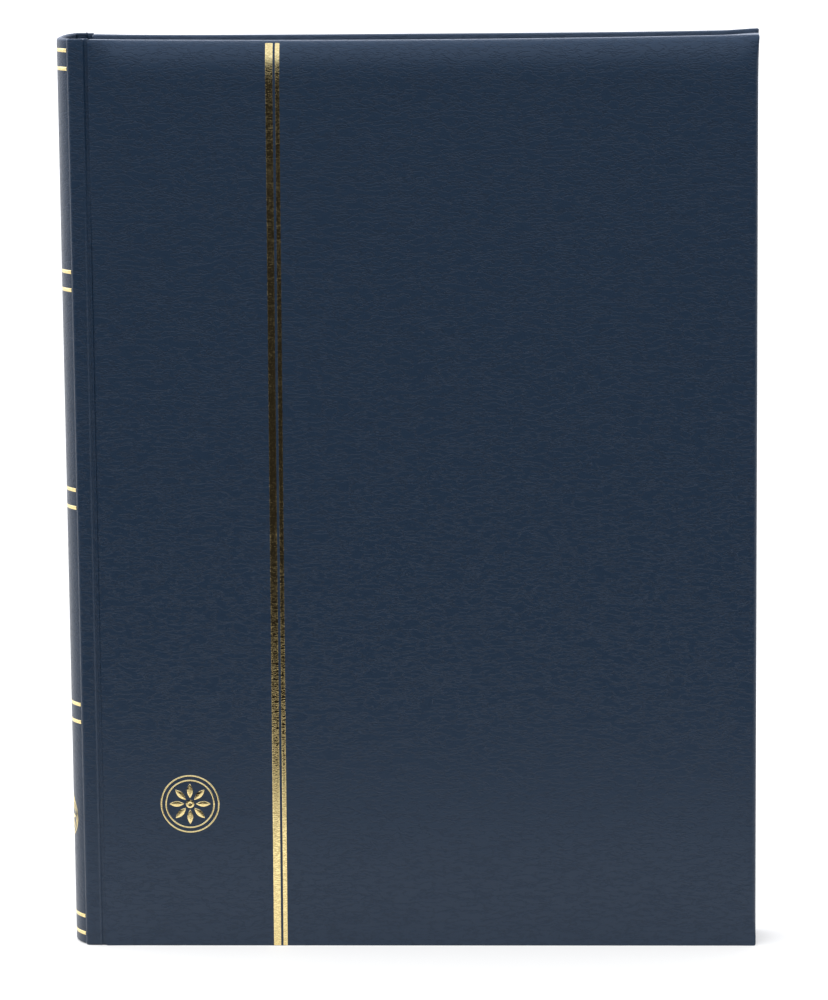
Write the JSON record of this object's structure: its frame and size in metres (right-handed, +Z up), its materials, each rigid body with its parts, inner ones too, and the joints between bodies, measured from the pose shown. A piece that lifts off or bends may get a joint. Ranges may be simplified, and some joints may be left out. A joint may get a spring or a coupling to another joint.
{
  "type": "stamp album",
  "caption": "Stock book for stamps, closed and standing: padded leatherette covers, rounded hollow spine with gold bands, card leaves with clear pocket strips.",
  "frame": {"origin": "middle of the bottom edge of the closed album, on the surface it stands on", "axes": "+Z up the height of the album, +X from the spine to the fore-edge, -Y out of the front cover"},
  "size_m": [0.2301, 0.022, 0.305],
  "materials": {
    "leatherette": "satin",
    "foam": "matte",
    "greyboard": "matte",
    "endpaper": "matte",
    "gold_foil": "polished",
    "liner_cloth": "matte",
    "gauze": "matte",
    "album_card": "matte",
    "linen": "matte",
    "clear_strip": "gloss",
    "glassine": "satin"
  },
  "bodies": {
    "spine": {"spine_covering": "leatherette", "spine_stiffener": "greyboard", "spine_gold_bands": "gold_foil", "spine_emblem": "gold_foil", "block_lining": "gauze"},
    "front_cover": {"front_covering": "leatherette", "front_padding": "foam", "front_board": "greyboard", "front_endpaper": "endpaper", "front_gold_stripes": "gold_foil", "front_emblem": "gold_foil", "front_joint": "leatherette", "front_joint_liner": "liner_cloth"},
    "back_cover": {"back_covering": "leatherette", "back_padding": "foam", "back_board": "greyboard", "back_endpaper": "endpaper", "back_joint": "leatherette", "back_joint_liner": "liner_cloth"},
    "leaf_1": {"leaf_1_card": "album_card", "leaf_1_linen": "linen", "leaf_1_front_strips": "clear_strip", "leaf_1_back_strips": "clear_strip", "leaf_1_interleaf": "glassine"},
    "leaf_2": {"leaf_2_card": "album_card", "leaf_2_linen": "linen", "leaf_2_front_strips": "clear_strip", "leaf_2_back_strips": "clear_strip", "leaf_2_interleaf": "glassine"},
    "leaf_3": {"leaf_3_card": "album_card", "leaf_3_linen": "linen", "leaf_3_front_strips": "clear_strip", "leaf_3_back_strips": "clear_strip", "leaf_3_interleaf": "glassine"},
    "leaf_4": {"leaf_4_card": "album_card", "leaf_4_linen": "linen", "leaf_4_front_strips": "clear_strip", "leaf_4_back_strips": "clear_strip", "leaf_4_interleaf": "glassine"},
    "leaf_5": {"leaf_5_card": "album_card", "leaf_5_linen": "linen", "leaf_5_front_strips": "clear_strip", "leaf_5_back_strips": "clear_strip", "leaf_5_interleaf": "glassine"},
    "leaf_6": {"leaf_6_card": "album_card", "leaf_6_linen": "linen", "leaf_6_front_strips": "clear_strip", "leaf_6_back_strips": "clear_strip", "leaf_6_interleaf": "glassine"},
    "leaf_7": {"leaf_7_card": "album_card", "leaf_7_linen": "linen", "leaf_7_front_strips": "clear_strip", "leaf_7_back_strips": "clear_strip", "leaf_7_interleaf": "glassine"},
    "leaf_8": {"leaf_8_card": "album_card", "leaf_8_linen": "linen", "leaf_8_front_strips": "clear_strip", "leaf_8_back_strips": "clear_strip", "leaf_8_interleaf": "glassine"}
  },
  "joints": [
    {"name": "front_cover_hinge", "type": "hinge", "parent": "spine", "child": "front_cover", "pos_m": [-0.1102, -0.0104, 0.1525], "axis": [0, 0, -1], "range_deg": [0, 90], "deforming": ["front_joint", "front_joint_liner", "block_lining"]},
    {"name": "back_cover_hinge", "type": "hinge", "parent": "spine", "child": "back_cover", "pos_m": [-0.1102, 0.0104, 0.1525], "axis": [0, 0, 1], "range_deg": [0, 90], "deforming": ["back_joint", "back_joint_liner"]},
    {"name": "leaf_4_hinge", "type": "hinge", "parent": "spine", "child": "leaf_4", "pos_m": [-0.104, 0, 0.1525], "axis": [0, 0, -1], "range_deg": [0, 10]},
    {"name": "leaf_3_hinge", "type": "hinge", "parent": "leaf_4", "child": "leaf_3", "pos_m": [-0.104, -0.0012, 0.1525], "axis": [0, 0, -1], "range_deg": [0, 20]},
    {"name": "leaf_2_hinge", "type": "hinge", "parent": "leaf_3", "child": "leaf_2", "pos_m": [-0.104, -0.0024, 0.1525], "axis": [0, 0, -1], "range_deg": [0, 20]},
    {"name": "leaf_1_hinge", "type": "hinge", "parent": "leaf_2", "child": "leaf_1", "pos_m": [-0.104, -0.0036, 0.1525], "axis": [0, 0, -1], "range_deg": [0, 20]},
    {"name": "leaf_5_hinge", "type": "hinge", "parent": "spine", "child": "leaf_5", "pos_m": [-0.104, 0, 0.1525], "axis": [0, 0, 1], "range_deg": [0, 10]},
    {"name": "leaf_6_hinge", "type": "hinge", "parent": "leaf_5", "child": "leaf_6", "pos_m": [-0.104, 0.0012, 0.1525], "axis": [0, 0, 1], "range_deg": [0, 20]},
    {"name": "leaf_7_hinge", "type": "hinge", "parent": "leaf_6", "child": "leaf_7", "pos_m": [-0.104, 0.0024, 0.1525], "axis": [0, 0, 1], "range_deg": [0, 20]},
    {"name": "leaf_8_hinge", "type": "hinge", "parent": "leaf_7", "child": "leaf_8", "pos_m": [-0.104, 0.0036, 0.1525], "axis": [0, 0, 1], "range_deg": [0, 20]}
  ],
  "couplings": [
    {"joint": "leaf_4_hinge", "follows": "front_cover_hinge", "ratio": 0.11111},
    {"joint": "leaf_3_hinge", "follows": "front_cover_hinge", "ratio": 0.22222},
    {"joint": "leaf_2_hinge", "follows": "front_cover_hinge", "ratio": 0.22222},
    {"joint": "leaf_1_hinge", "follows": "front_cover_hinge", "ratio": 0.22222},
    {"joint": "leaf_5_hinge", "follows": "back_cover_hinge", "ratio": 0.11111},
    {"joint": "leaf_6_hinge", "follows": "back_cover_hinge", "ratio": 0.22222},
    {"joint": "leaf_7_hinge", "follows": "back_cover_hinge", "ratio": 0.22222},
    {"joint": "leaf_8_hinge", "follows": "back_cover_hinge", "ratio": 0.22222}
  ]
}
